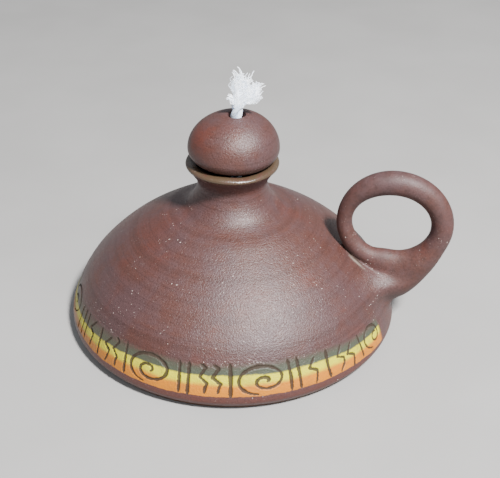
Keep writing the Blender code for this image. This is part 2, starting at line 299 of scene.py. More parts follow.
@dataclass(frozen=True)
class Clay:
    """Fired iron-rich stoneware with a soft sheen, bare or under slip and glaze.

    The sizes of its patches, and the places of its rust and of the painted shade on the slip's left side, are
    in millimetres.
    """

    name: str = "stoneware"
    body: tuple = srgb(72, 44, 38)
    ashen: tuple = srgb(70, 50, 50)
    rusty: tuple = srgb(83, 41, 31)
    dark: tuple = srgb(42, 24, 20)
    # the pale specks' colour, also used for the painted glints
    speck_and_glint: tuple = srgb(190, 176, 168)
    blue_slip: tuple = srgb(59, 64, 51)
    yellow_slip: tuple = srgb(187, 181, 14)
    orange_slip: tuple = srgb(178, 107, 2)
    # dark colour of the scratches through the slip, also used for painted shade in the handle's crease
    scratch_and_crease_shade: tuple = srgb(40, 29, 16)
    glaze: tuple = srgb(66, 55, 40)
    # pale colour painted as a highlight along the burr beside the handle's crease
    burr: tuple = srgb(124, 115, 104)
    roughness: float = 0.44
    rust_share: float = 0.4
    rust_place: tuple = (0.0, 0.0, 40.0)
    rust_reach: float = 1.0
    speck_share: float = 1.0
    turning: float = 0.20
    broad_size: float = 26.0
    middle_size: float = 5.0
    grain_size: float = 0.62
    fine_size: float = 0.38
    speck_size: float = 0.55
    line_rate: float = 0.95
    arc_rate: float = 0.36
    foot_rust: tuple = (7.5, 5.0)
    painted_side_shade: tuple = (-12.0, -58.0)
    slip_edge: tuple = (-0.012, 0.012)
    orange_to_yellow: tuple = (0.28, 0.47)
    yellow_to_blue: tuple = (0.615, 0.685)
    refraction: float = 1.45
    coat: float = 0.12
    coat_roughness: float = 0.20
    bump_depth: float = 0.00031

    def turned(self, paint: Paint, rate: float, detail: float, rough: float, sway: Socket) -> Socket:
        """A noise in rings round the axis, as the wheel leaves it.

        Args:
            paint: The material under construction.
            rate: The number of rings in a millimetre.
            detail: The number of finer octaves.
            rough: How strong the finer octaves are.
            sway: How far the rings wander.

        Returns:
            The noise, around 0.5.
        """
        radius = (paint.x * paint.x + paint.y * paint.y).maths("SQRT")
        return paint.noise(1.0, detail, rough, paint.vector(radius * rate, paint.z * rate, sway))

    def bare(self, paint: Paint, middle: Socket, grain: Socket, turned: Socket) -> bpy.types.NodeSocket:
        """The bare clay's colour: ashen and rusty patches with turning lines, throwing arcs and grain.

        Args:
            paint: The material under construction.
            middle: The noise of middling patches.
            grain: The noise of the grain.
            turned: The noise of the turning lines.

        Returns:
            The colour.
        """
        shade = (paint.noise(self.broad_size, 3.0, 0.55) - 0.5) + (middle - 0.5) * 0.6 + 0.5
        colour = paint.mix(shade.step(0.30, 0.72), self.body, self.ashen)
        away = paint.vector(*(axis - at for axis, at in zip((paint.x, paint.y, paint.z), self.rust_place)))
        length = add_node(paint.tree, "ShaderNodeVectorMath", {"operation": "LENGTH"}, {0: away})
        near = Socket(paint.tree, length.outputs["Value"]) / self.rust_reach + (middle - 0.5) * 1.4
        rust = paint.noise(17.0, 2.0, 0.5, warp=0.6).step(0.52, 0.72) * self.rust_share
        colour = paint.mix(rust.most(near.step(1.25, 0.35) * 0.8), colour, self.rusty)
        colour = paint.mix(paint.z.step(*self.foot_rust) * 0.55, colour, self.rusty)
        colour = paint.mix((turned - 0.5).step(0.02, 0.16) * 0.34, colour, self.dark)
        arcs = self.turned(paint, self.arc_rate, 1.0, 0.5, middle * 0.3)
        colour = paint.mix((arcs - 0.5).step(0.03, 0.16) * self.turning * 1.6, colour, self.ashen)
        colour = paint.mix((0.5 - arcs).step(0.03, 0.16) * self.turning * 1.1, colour, self.dark)
        return paint.mix(grain.step(0.50, 0.36) * 0.35, colour, self.dark)

    def speckled(self, paint: Paint, colour: object, fine: Socket, level: Socket) -> bpy.types.NodeSocket:
        """A colour strewn with painted glints, pale dots that stand in for light caught by the grain, and with
        white specks, more of them at the band's upper edge.

        Args:
            paint: The material under construction.
            colour: The colour below.
            fine: The noise of the painted glints.
            level: The level on the band.

        Returns:
            The colour.
        """
        # painted highlight: pale glints scattered through the colour
        painted_glint = fine.step(0.71, 0.80) * paint.noise(9.0, 1.0).step(0.40, 0.62)
        colour = paint.mix(painted_glint * 0.42, colour, self.speck_and_glint)
        rim = level.step(0.86, 0.96) * level.step(1.16, 1.04) * paint.noise(15.0, 1.0).step(0.52, 0.62)
        dots = paint.noise(self.speck_size, 0.0)
        single = dots.step(0.80, 0.83) * paint.noise(12.0, 1.0).step(0.50, 0.62) * self.speck_share
        return paint.mix(single.most(dots.step(0.71, 0.76) * rim) * 0.9, colour, self.speck_and_glint)

    def slipped(
        self, paint: Paint, colour: object, middle: Socket, grain: Socket, level: Socket
    ) -> bpy.types.NodeSocket:
        """A colour under the band's orange, yellow and blue slip.

        Args:
            paint: The material under construction.
            colour: The colour below.
            middle: The noise of middling patches.
            grain: The noise of the grain.
            level: The level on the band.

        Returns:
            The colour.
        """
        slip = paint.mix(level.step(*self.orange_to_yellow), self.orange_slip, self.yellow_slip)
        slip = paint.mix(level.step(*self.yellow_to_blue), slip, self.blue_slip)
        slip = paint.mix((middle - 0.5).step(0.0, 0.22) * 0.22, slip, self.body)
        # painted shade: the slip is greyed towards the glaze colour on its left side, which faces away from the
        # key light
        slip = paint.mix(paint.x.step(*self.painted_side_shade) * 0.50, slip, self.glaze)
        slip = paint.mix((paint.noise(2.2, 3.0, 0.6) - 0.5).step(0.02, 0.2) * 0.18, slip, self.glaze)
        cover = paint.attribute("band_share") * level.step(*self.slip_edge)
        return paint.mix(cover * (level + (grain - 0.5) * 0.16).step(1.06, 0.76), colour, slip)

    def make(self) -> bpy.types.Material:
        """Builds the clay's material.

        Returns:
            The material.
        """
        constants = {"Metallic": 0.0, "IOR": self.refraction, "Coat Roughness": self.coat_roughness}
        paint = Paint(self.name, constants)
        middle = paint.noise(self.middle_size, 4.0, 0.6)
        grain = paint.noise(self.grain_size, 2.0, 0.6, warp=0.4)
        fine = paint.noise(self.fine_size, 1.0, 0.5, warp=0.4)
        turned = self.turned(paint, self.line_rate, 3.0, 0.65, middle * 0.5)
        waves = (paint.noise(7.0) - 0.5) * 0.10
        level = paint.attribute("band_level") + waves + (paint.noise(1.1) - 0.5) * 0.05
        cut, matt = paint.attribute("scratch_and_crease_shade"), paint.attribute("matt")
        glazed = (paint.attribute("glazed") + (paint.noise(2.4) - 0.5) * 0.55).step(0.42, 0.58)

        colour = self.bare(paint, middle, grain, turned)
        colour = self.speckled(paint, colour, fine, level)
        colour = self.slipped(paint, colour, middle, grain, level)
        # dark scratches through the slip, and painted shade in the crease along the handle
        colour = paint.mix((cut + (grain - 0.5) * 0.60).step(0.46, 0.72) * 0.94, colour, self.scratch_and_crease_shade)
        runny = paint.mix(paint.noise(3.2, 3.0, 0.6).step(0.45, 0.75) * 0.7, self.glaze, self.body)
        colour = paint.mix(glazed * 0.85, colour, runny)
        # painted highlight: a pale line along the burr beside the handle's crease
        burr_highlight = paint.attribute("burr") * (middle - 0.5).step(-0.15, 0.05)
        colour = paint.mix(burr_highlight, colour, self.burr)

        rough = self.roughness + (middle - 0.5) * 0.14 + (grain - 0.5) * 0.22
        rough = rough * (1.0 - glazed * 0.35) + cut * 0.35 + matt * 0.14
        height = grain * 0.52 + fine * 0.30 + turned * self.turning + middle * 0.40
        normal = paint.bump(height * (1.0 - glazed * 0.50) * (1.0 - matt * 0.45), self.bump_depth)
        return paint.finish(Base_Color=colour, Roughness=rough, Coat_Weight=glazed * self.coat, Normal=normal)


@dataclass(frozen=True)
class Cotton:
    """White cotton threads, with the sizes of their patches in millimetres, and a painted glow that can
    brighten them.
    """

    name: str = "wick_cotton"
    light: tuple = (0.75, 0.84, 1.0)
    shaded: tuple = (0.54, 0.63, 0.81)
    # painted light: an emission that makes the threads glow brighter than the lamps light them; the cotton is
    # no lamp
    painted_glow: float = 0.0
    painted_glow_colour: tuple = (0.88, 0.95, 1.0, 1.0)
    roughness: float = 0.85
    soaking: float = 0.8
    soaking_reach: float = 0.002
    hair_size: float = 0.16
    patch_size: float = 1.4
    bump_depth: float = 0.00012

    def make(self) -> bpy.types.Material:
        """Builds the cotton's material.

        Returns:
            The material.
        """
        constants = {
            "Roughness": self.roughness,
            "Subsurface Weight": self.soaking,
            "Subsurface Scale": self.soaking_reach,
            "Subsurface Radius": (1.0, 1.0, 1.0),
            "Emission Color": self.painted_glow_colour,
            "Emission Strength": self.painted_glow,
        }
        paint = Paint(self.name, constants)
        hairs = paint.noise(self.hair_size, 2.0, 0.6)
        patches = paint.noise(self.patch_size, 2.0, 0.6)
        share = (hairs * 0.7 + patches * 0.6 - 0.15).step(0.60, 0.40)
        colour = paint.mix(share * 0.7, self.light, self.shaded)
        return paint.finish(Base_Color=colour, Normal=paint.bump(hairs, self.bump_depth))


@dataclass(frozen=True)
class Ground:
    """The plain pale floor."""

    name: str = "floor"
    light: tuple = (0.30, 0.297, 0.288)
    shaded: tuple = (0.28, 0.277, 0.268)
    roughness: float = 0.8
    patch_size: float = 60.0

    def make(self) -> bpy.types.Material:
        """Builds the floor's material.

        Returns:
            The material.
        """
        paint = Paint(self.name, {"Roughness": self.roughness})
        colour = paint.mix(paint.noise(self.patch_size, 3.0).step(0.3, 0.7), self.light, self.shaded)
        return paint.finish(Base_Color=colour)


def smooth(stations: list, steps: int) -> np.ndarray:
    """Points of a curve through stations.

    Args:
        stations: The points that it runs through.
        steps: The number of steps in each span.

    Returns:
        The curve's points, one a row.
    """
    points = np.array(stations, float)
    reach = np.sqrt(np.linalg.norm(np.diff(points, axis=0), axis=1))
    knots = np.concatenate(([0.0], np.cumsum(reach)))
    last = len(points) - 1
    tangents = []
    for i in range(len(points)):
        before, after = max(i - 1, 0), min(i + 1, last)
        tangents.append((points[after] - points[before]) / (knots[after] - knots[before]))
    curve = []
    for i in range(last):
        t = np.arange(steps)[:, None] / steps
        start = points[i] * (2 * t**3 - 3 * t**2 + 1) + tangents[i] * reach[i] * (t**3 - 2 * t**2 + t)
        end = points[i + 1] * (3 * t**2 - 2 * t**3) + tangents[i + 1] * reach[i] * (t**3 - t**2)
        curve.append(start + end)
    return np.concatenate([*curve, points[-1:]])


def arc(
    centre: tuple, half_width: float, half_height: float, start: float, end: float, steps: int
) -> np.ndarray:
    """Points along a stretch of an ellipse.

    Args:
        centre: The ellipse's middle.
        half_width: Half of its width.
        half_height: Half of its height.
        start: The first point's angle, in degrees.
        end: The last point's angle, in degrees.
        steps: The number of steps.

    Returns:
        The points, one a row.
    """
    angle = np.radians(np.linspace(start, end, steps + 1))
    return np.stack([centre[0] + half_width * np.cos(angle), centre[1] + half_height * np.sin(angle)], axis=1)


def eased(value: np.ndarray, low: float, high: float) -> np.ndarray:
    """A smooth step from 0 at low to 1 at high."""
    share = np.clip((value - low) / (high - low), 0.0, 1.0)
    return share * share * (3.0 - 2.0 * share)


def new_piece(
    name: str, verts: np.ndarray, faces: list, finish: bpy.types.Material, marks: dict
) -> bpy.types.Object:
    """A smooth closed piece.

    Args:
        name: The object's name.
        verts: Its points, one a row.
        faces: Its faces, as lists of point numbers.
        finish: Its material.
        marks: Numbers to keep on its points, by attribute name.

    Returns:
        The object, at the origin.
    """
    mesh = bpy.data.meshes.new(name)
    mesh.from_pydata([tuple(v) for v in verts], [], faces)
    for mark, values in marks.items():
        kept = mesh.attributes.new(mark, "FLOAT", "POINT")
        kept.data.foreach_set("value", np.asarray(values, np.float32))
    bm = bmesh.new()
    bm.from_mesh(mesh)
    bmesh.ops.remove_doubles(bm, verts=bm.verts, dist=1e-6)
    bmesh.ops.recalc_face_normals(bm, faces=bm.faces)
    bm.to_mesh(mesh)
    bm.free()
    mesh.materials.append(finish)
    mesh.shade_smooth()
    piece = bpy.data.objects.new(name, mesh)
    bpy.context.scene.collection.objects.link(piece)
    return piece


def settle(piece: bpy.types.Object, slot: str, *nodes: str) -> bpy.types.Object:
    """Fixes a piece to the lamp.

    Args:
        piece: The piece.
        slot: The record's material slot.
        nodes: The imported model's nodes that it stands for.

    Returns:
        The piece.
    """
    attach(piece, "root")
    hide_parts(*nodes)
    LOG.info("%s: %d faces, finish %s", piece.name, len(piece.data.polygons), slot)
    return piece


class Rows:
    """Rings of points round the Z axis, sewn into one skin.

    A ring may have a multiple of the number of points in the ring beside it.
    """

    def __init__(self) -> None:
        """Starts an empty skin."""
        self.verts: list = []
        self.faces: list = []
        self.rings: list = []
        self.count = 0

    def ring(self, radius: float | np.ndarray, height: float | np.ndarray, angles: np.ndarray) -> None:
        """Adds a ring of points.

        Args:
            radius: The ring's radius, or one for each point.
            height: Its height, or one for each point.
            angles: The points' angles, in radians.
        """
        place = [radius * np.cos(angles), radius * np.sin(angles), height + 0.0 * angles]
        self.verts.append(np.stack(place, axis=1))
        self.rings.append(np.arange(self.count, self.count + len(angles)))
        self.count += len(angles)

    def pole(self, height: float) -> None:
        """Adds a single point on the axis.

        Args:
            height: Its height.
        """
        self.verts.append(np.array([[0.0, 0.0, height]]))
        self.rings.append(np.array([self.count]))
        self.count += 1

    def sew(self) -> None:
        """Joins each ring to the next."""
        for low, high in zip(self.rings, self.rings[1:]):
            few, many = (low, high) if len(low) <= len(high) else (high, low)
            count = len(few)
            if count == 1:
                turns = zip(many, np.roll(many, -1))
                self.faces += [[int(few[0]), int(a), int(b)] for a, b in turns]
            elif count == len(many):
                sides = zip(low, np.roll(low, -1), np.roll(high, -1), high)
                self.faces += [[int(corner) for corner in side] for side in sides]
            else:
                part = len(many) // count
                for i in range(count):
                    strip = [int(many[(i * part + k) % len(many)]) for k in range(part + 1)]
                    self.faces.append([int(few[i]), *strip, int(few[(i + 1) % count])])


class Hook(Enum):
    """How a zigzag starts: its first corner's distance along the band, in millimetres, or none."""

    PLAIN = None
    HOOKED = -1.2


@dataclass(frozen=True)
class Mark:
    """One mark scratched through the slip: its azimuth in degrees, and its width and drop in millimetres."""

    azimuth: float
    width: float
    drop: float = 0.0

    def line(self) -> np.ndarray:
        """The mark's middle line, as distances along the band and heights above its foot, in millimetres."""
        return self.shape() - np.array([0.0, self.drop])

    def shape(self) -> np.ndarray:
        """The middle line of a mark that isn't lowered."""
        raise NotImplementedError


@dataclass(frozen=True)
class Bar(Mark):
    """An upright bar, whose top leans back by the lean."""

    lean: float = 0.1
    top: float = 11.3
    bow: float = 0.1

    def shape(self) -> np.ndarray:
        """A gently bowed line from the top down."""
        return smooth([(-self.lean, self.top), (self.bow, 0.5 * self.top), (self.lean, 0.3)], 5)


@dataclass(frozen=True)
class Zigzag(Mark):
    """A zigzag of straight strokes, with or without a hook at its top."""

    hook: Hook = Hook.PLAIN
    tail: float = 0.5

    def shape(self) -> np.ndarray:
        """The zigzag's line.

        Returns:
            Its corners from the top down.
        """
        if self.hook is Hook.HOOKED:
            corners = [(self.hook.value, 11.3), (0.6, 10.2), (-1.4, 7.0), (1.4, 4.8), (0.8, 3.3)]
            return np.array([*corners, (self.tail, 1.2)])
        return np.array([(1.1, 9.8), (-1.5, 6.4), (1.4, 5.0), (1.3, 3.3), (self.tail, 0.4)])


@dataclass(frozen=True)
class Spiral(Mark):
    """A spiral that starts at its foot, runs clockwise, and winds in after most of its first turn."""

    half_width: float = 7.6
    half_height: float = 5.2
    middle: float = 5.7
    rate: float = 1.55
    drift: float = 0.0
    turns: float = 1.90
    first_turn: float = 0.03
    wide_turns: float = 0.70

    def shape(self) -> np.ndarray:
        """The spiral's line: an ellipse that shrinks, and drifts along the band as it does.

        Returns:
            Its points.
        """
        turn = np.linspace(self.first_turn, self.turns, 72)
        size = np.exp(-self.rate * np.maximum(turn - self.wide_turns, 0.0))
        along = -self.half_width * size * np.sin(2.0 * math.pi * turn) + self.drift * (1.0 - size)
        up = self.middle - self.half_height * size * np.cos(2.0 * math.pi * turn)
        return np.stack([along, up], axis=1)


@dataclass
class Band:
    """The slip band round the foot with its scratched marks."""

    low: float = 0.0064
    top: float = 0.0172
    radius: float = 0.0605
    slope: float = 1.10
    depth: float = 0.00034
    burr: float = 0.00008
    start: float = -17.0
    end: float = -343.0
    seed: int = 7
    beside: float = 3.0
    waves: tuple = ((5.0, 0.08), (13.0, 0.09), (29.0, 0.07))
    marks: list = field(default_factory=list)

    def __post_init__(self) -> None:
        """Places the marks: those of the front one by one, and the rest in the same rhythm."""
        hooked = Hook.HOOKED
        self.marks = [
            Spiral(-22.7, 0.90, 0.2, 4.75, 4.1, middle=4.8, rate=1.9, drift=3.3, turns=1.6),
            Bar(-29.8, 0.90, lean=0.4, top=9.2),
            Zigzag(-35.3, 1.00, 1.0, tail=0.7),
            Zigzag(-39.9, 0.95, tail=-0.8),
            Bar(-45.3, 1.35, bow=-0.4, top=10.2),
            Zigzag(-51.4, 1.00),
            Bar(-56.7, 1.25, lean=0.2),
            Bar(-60.0, 1.30, lean=0.2, bow=0.3),
            Spiral(-69.8, 1.20, half_width=7.8, half_height=5.0, middle=5.6, rate=1.9, drift=1.9),
            Bar(-79.9, 1.60, lean=0.05, top=11.7),
            Zigzag(-84.4, 1.25, hook=hooked),
            Zigzag(-88.8, 1.20, hook=hooked),
            Bar(-93.9, 1.45),
            Bar(-97.1, 1.25, lean=0.3, bow=0.2),
            Spiral(-108.2, 1.15),
            Bar(-118.2, 1.15, lean=0.6),
            Zigzag(-123.0, 1.00, 0.4, hook=hooked, tail=1.0),
            Zigzag(-127.4, 1.00),
            Bar(-132.0, 1.10, lean=0.5, top=10.4),
            Zigzag(-137.9, 1.00, -0.4, tail=0.9),
            Bar(-142.2, 1.00, lean=0.5, top=10.0),
            Bar(-145.2, 1.00, lean=0.5, top=10.0),
            Bar(-148.8, 0.90, lean=0.4, top=9.6),
            Spiral(-159.5, 0.70, 0.4, half_width=7.2, half_height=4.8, middle=5.6),
        ]
        for place, is_long in ((-197.5, False), (-245.0, True), (-282.5, False), (-330.5, True)):
            bars = (9.6, 13.1, 24.6, 40.0) if is_long else (11.0, 14.2, 28.2)
            zigzags = (18.8, 30.0, 35.0) if is_long else (19.2, 23.5)
            self.marks.append(Spiral(place, 1.10, drift=0.0 if is_long else 1.2))
            self.marks += [Bar(place + offset, 1.15, lean=0.3) for offset in bars]
            self.marks += [Zigzag(place + offset, 1.05, hook=hooked) for offset in zigzags]

    def top_at(self, azimuth: np.ndarray) -> np.ndarray:
        """The height of the slip's upper edge.

        Args:
            azimuth: The azimuths, in degrees from 0 to -360.

        Returns:
            The height at each of them.
        """
        near_root = eased(azimuth, -62.0, -18.0) + eased(azimuth, -298.0, -342.0)
        waves = 0.25 * np.sin(np.radians(azimuth * 5.0 + 40.0)) + 0.15 * np.sin(np.radians(azimuth * 13.0))
        side = eased(azimuth, -105.0, -140.0) * eased(azimuth, -215.0, -180.0)
        return self.top + MM * (waves - 2.4 * near_root - 1.2 * side)

    def levels(self, azimuth: np.ndarray, height: np.ndarray) -> tuple[np.ndarray, np.ndarray]:
        """Where points lie on the band.

        Args:
            azimuth: The points' azimuths, in degrees from 0 to -360.
            height: The points' heights.

        Returns:
            Their level, from 0 at the band's lower edge to 1 at its upper edge, and their share of the band's
            stretch.
        """
        low = self.low - 0.0010 * eased(azimuth, -40.0, -18.0)
        level = (height - low) / (self.top_at(azimuth) - low)
        side = eased(azimuth, -112.0, -150.0) * eased(azimuth, -225.0, -190.0)
        level = level + 0.52 * side * np.clip(level * (1.0 - level), 0.0, 0.25)
        share = eased(azimuth, self.start + 1.2, self.start - 0.6)
        return level, share * eased(azimuth, self.end - 1.2, self.end + 0.6)

    def scratches(self, azimuth: np.ndarray, height: np.ndarray) -> tuple[np.ndarray, np.ndarray]:
        """How deep the marks cut at points.

        Args:
            azimuth: The points' azimuths, in degrees from 0 to -360.
            height: The points' heights.

        Returns:
            The depth in metres, with the burrs beside the cuts as negative depth, and the share of a cut from
            0 to 1.
        """
        random = np.random.default_rng(self.seed)
        up = (height - self.low) * self.slope / MM
        depth = np.zeros(len(azimuth))
        share = np.zeros(len(azimuth))
        for mark in self.marks:
            line = mark.line()
            along = np.radians(azimuth - mark.azimuth) * self.radius / MM
            near = np.abs(along) < np.abs(line[:, 0]).max() + self.beside
            if not near.any():
                continue
            place = np.stack([along[near], up[near]], axis=1)
            away = place[:, None, :] - line[None, :-1]
            run = np.diff(line, axis=0)
            t = np.einsum("nmk,mk->nm", away, run) / np.maximum((run**2).sum(1), 1e-9)
            t = np.clip(t, 0.0, 1.0)
            away = np.linalg.norm(away - t[..., None] * run[None], axis=2)
            best = away.argmin(axis=1)
            count = np.arange(len(best))
            walk = (best + t[count, best]) / len(run)
            turn = walk * random.uniform(0.8, 1.6) + random.uniform(0.0, 1.0)
            press = 1.0 + 0.12 * np.sin(2.0 * math.pi * turn)
            for waves, swing in self.waves:
                turn = walk * waves * random.uniform(0.8, 1.3) + random.uniform(0.0, 1.0)
                press = press * (1.0 + swing * np.sin(2.0 * math.pi * turn))
            press = press * (0.6 + 0.4 * eased(walk, 0.0, 0.07)) * (0.6 + 0.4 * eased(walk, 1.0, 0.93))
            ratio = away[count, best] / (0.5 * mark.width * press)
            groove = eased(ratio, 1.15, 0.35)
            ridge = eased(ratio, 2.3, 1.5) * eased(ratio, 0.9, 1.4) * (groove <= 0.0)
            cut = self.depth * groove * np.clip(press, 0.6, 1.2)
            depth[near] = np.maximum(depth[near], cut) - self.burr * ridge
            share[near] = np.maximum(share[near], eased(ratio, 1.3, 0.75))
        return depth, share


@dataclass
class Reservoir:
    """The thrown reservoir: foot, dome, neck, rolled lip, throat and inside."""

    foot_r: float = 0.0603
    foot_arris: float = 0.0004
    outside: tuple = (
        (0.0628, 0.0046),
        (0.0593, 0.0143),
        (0.0537, 0.0230),
        (0.0425, 0.0337),
        (0.0275, 0.0436),
        (0.0172, 0.0487),
        (0.0130, 0.0572),
    )
    lip_r: float = 0.0152
    lip_z: float = 0.0650
    lip_half_width: float = 0.0020
    lip_half_height: float = 0.0012
    lip_angles: tuple = (-60.0, 205.0)
    wall: float = 0.0045
    floor: float = 0.0045
    floor_fillet: float = 0.0080
    throat_r: float = 0.0100
    throat: tuple = (0.0590, 0.0540)
    coarse: int = 216
    fine: int = 1296
    fine_heights: tuple = (0.0053, 0.0186)
    fine_gaps: tuple = (0.0004, 0.0006)
    ring_counts: tuple = (7, 46, 70)
    foot_shares: tuple = (0.25, 0.5, 0.75, 0.92)
    lip_waves: tuple = ((0.00008, 3.0, 0.7), (0.00005, 7.0, 0.0))
    neck_glaze: tuple = (0.0622, 0.0640)
    throat_glaze: tuple = (0.0560, 0.0590)
    band: Band = field(default_factory=Band)

    def lip(self, steps: int) -> np.ndarray:
        """The rolled lip's outline."""
        sizes = self.lip_half_width, self.lip_half_height
        return arc((self.lip_r, self.lip_z), *sizes, *self.lip_angles, steps)

    def outer(self, steps: int) -> np.ndarray:
        """The outside's outline, from the foot's arris to the underside of the lip."""
        return smooth([(self.foot_r, self.foot_arris), *self.outside, tuple(self.lip(2)[0])], steps)

    def inner(self) -> np.ndarray:
        """The inside's outline, from the lip to the middle of the floor.

        Returns:
            Its points, one a row.
        """
        steps = 6
        curve = self.outer(steps)
        along = np.gradient(curve, axis=0)
        along /= np.linalg.norm(along, axis=1)[:, None]
        under = curve + np.stack([-along[:, 1], along[:, 0]], axis=1) * self.wall
        corner_z = self.floor + self.floor_fillet
        row = int(np.abs(curve[:, 1] - corner_z).argmin())
        widest = curve[row, 0] - self.wall / along[row, 1]
        picked = [tuple(under[i * steps]) for i in (6, 5, 4, 3, 2) if under[i * steps, 1] > corner_z]
        throat = [tuple(self.lip(2)[-1]), (self.throat_r, self.throat[0]), (self.throat_r, self.throat[1])]
        walls = smooth([*throat, *picked, (widest, corner_z)], 5)
        fillet = self.floor_fillet
        corner = arc((widest - fillet, corner_z), fillet, fillet, 0.0, -90.0, 8)
        return np.concatenate([walls[1:-1], corner])

    def build(self, clay: bpy.types.Material) -> bpy.types.Object:
        """Builds and dresses the reservoir.

        Args:
            clay: Its finish.

        Returns:
            The piece.
        """
        rows = Rows()
        coarse = np.linspace(0.0, 2.0 * math.pi, self.coarse, endpoint=False)
        fine = np.linspace(0.0, 2.0 * math.pi, self.fine, endpoint=False)
        marks: dict = {"band_level": [], "band_share": [], "scratch_and_crease_shade": [], "glazed": []}

        def note(
            count: int, level: object = 2.0, share: object = 0.0, scratch_and_crease_shade: object = 0.0, glazed: object = 0.0
        ) -> None:
            """Keeps a ring's numbers."""
            for name, value in zip(marks, (level, share, scratch_and_crease_shade, glazed)):
                marks[name].append(np.zeros(count) + value)

        rows.pole(0.0)
        note(1)
        arris, flat_r = self.foot_arris, self.foot_r - self.foot_arris
        foot = [(flat_r * share, 0.0) for share in self.foot_shares]
        for r, z in [*foot, *arc((flat_r, arris), arris, arris, -90.0, 0.0, 5)[:-1]]:
            rows.ring(r, z, coarse)
            note(len(coarse))
        curve = self.outer(64)
        length = np.concatenate(([0.0], np.cumsum(np.linalg.norm(np.diff(curve, axis=0), axis=1))))
        along = np.gradient(curve, axis=0)
        along /= np.linalg.norm(along, axis=1)[:, None]
        band_start, band_end = (np.interp(z, curve[:, 1], length) for z in self.fine_heights)
        below, on_band, above = self.ring_counts
        spots = [
            *[(s, False) for s in np.linspace(0.0, band_start - self.fine_gaps[0], below)],
            *[(s, True) for s in np.linspace(band_start, band_end, on_band)],
            *[(s, False) for s in np.linspace(band_end + self.fine_gaps[1], length[-1], above)],
        ]
        for s, is_fine in spots:
            r, z = (np.interp(s, length, curve[:, k]) for k in (0, 1))
            out = Vector((np.interp(s, length, along[:, 1]), -np.interp(s, length, along[:, 0])))
            angles = fine if is_fine else coarse
            azimuth = np.degrees(angles) - 360.0
            azimuth = np.where(azimuth <= -360.0, 0.0, azimuth)
            level, share = self.band.levels(azimuth, np.full(len(angles), z))
            depth, scratch_and_crease_shade = np.zeros(len(angles)), np.zeros(len(angles))
            if is_fine:
                depth, scratch_and_crease_shade = self.band.scratches(azimuth, np.full(len(angles), z))
                depth, scratch_and_crease_shade = depth * share, scratch_and_crease_shade * share
            rows.ring(r - depth * out.x, z - depth * out.y, angles)
            note(len(angles), level, share, scratch_and_crease_shade, float(eased(np.array(z), *self.neck_glaze)) * 0.5)
        wobble = sum(size * np.sin(waves * coarse + start) for size, waves, start in self.lip_waves)
        for r, z in self.lip(22)[1:]:
            height = z - self.lip_z + self.lip_half_height
            rows.ring(r, z + wobble * height / self.lip_half_height, coarse)
            note(len(coarse), glazed=1.0)
        for r, z in self.inner():
            rows.ring(r, z, coarse)
            note(len(coarse), glazed=float(eased(np.array(z), *self.throat_glaze)))
        rows.pole(self.floor)
        note(1)
        rows.sew()
        kept = {name: np.concatenate(values) for name, values in marks.items()}
        piece = new_piece("reservoir", np.concatenate(rows.verts), rows.faces, clay, kept)
        return settle(piece, "stoneware", "lamp_body")


def distance_to_path(points: np.ndarray, path: np.ndarray, rolls: np.ndarray) -> np.ndarray:
    """Distances from points to the skin of a roll along a path.

    Args:
        points: The points, one a row.
        path: The roll's middle line, one point a row.
        rolls: The roll's radius at each point of the path.

    Returns:
        The distances, below zero inside the roll.
    """
    best = np.full(len(points), 1e3)
    for a, b, first, second in zip(path, path[1:], rolls, rolls[1:]):
        run = b - a
        t = np.clip((points - a) @ run / (run @ run), 0.0, 1.0)
        away = np.linalg.norm(points - a - t[:, None] * run, axis=1) - (first + (second - first) * t)
        np.minimum(best, away, out=best)
    return best


def blended(first: np.ndarray, second: np.ndarray, reach: float | np.ndarray) -> np.ndarray:
    """Two distances joined over a reach, as clay is smoothed together."""
    share = np.maximum(reach - np.abs(first - second), 0.0) / reach
    return np.minimum(first, second) - share * share * reach * 0.25


